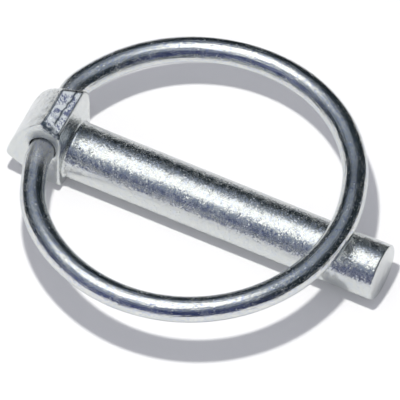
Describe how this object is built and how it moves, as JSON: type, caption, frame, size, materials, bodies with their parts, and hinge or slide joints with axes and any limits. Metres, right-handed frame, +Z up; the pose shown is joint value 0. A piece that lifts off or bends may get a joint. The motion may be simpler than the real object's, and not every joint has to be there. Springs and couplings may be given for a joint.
{
  "type": "lynch pin",
  "caption": "Round steel pin with a forged head and a hinged wire ring that snaps over the shank, to keep a shaft or hitch pin in place.",
  "frame": {"origin": "on the shank's axis, in the plane of the head's bearing face", "axes": "+X runs down the shank from the head to the tip, +Z is up as the pin lies, +Y is towards the far side"},
  "size_m": [0.054, 0.0471, 0.0155],
  "materials": {
    "zinc_forging": "bright zinc plate over a forged head and a drawn shank",
    "zinc_wire": "bright zinc plate over drawn spring wire"
  },
  "bodies": {
    "pin": {"pin": "zinc_forging"},
    "ring": {"ring": "zinc_wire"}
  },
  "joints": [
    {"name": "ring_swing", "type": "hinge", "parent": "pin", "child": "ring", "pos_m": [-0.0027, 0, 0.00475], "axis": [0.0554, -0.9972, 0.0504], "range_deg": [0, 342]}
  ]
}
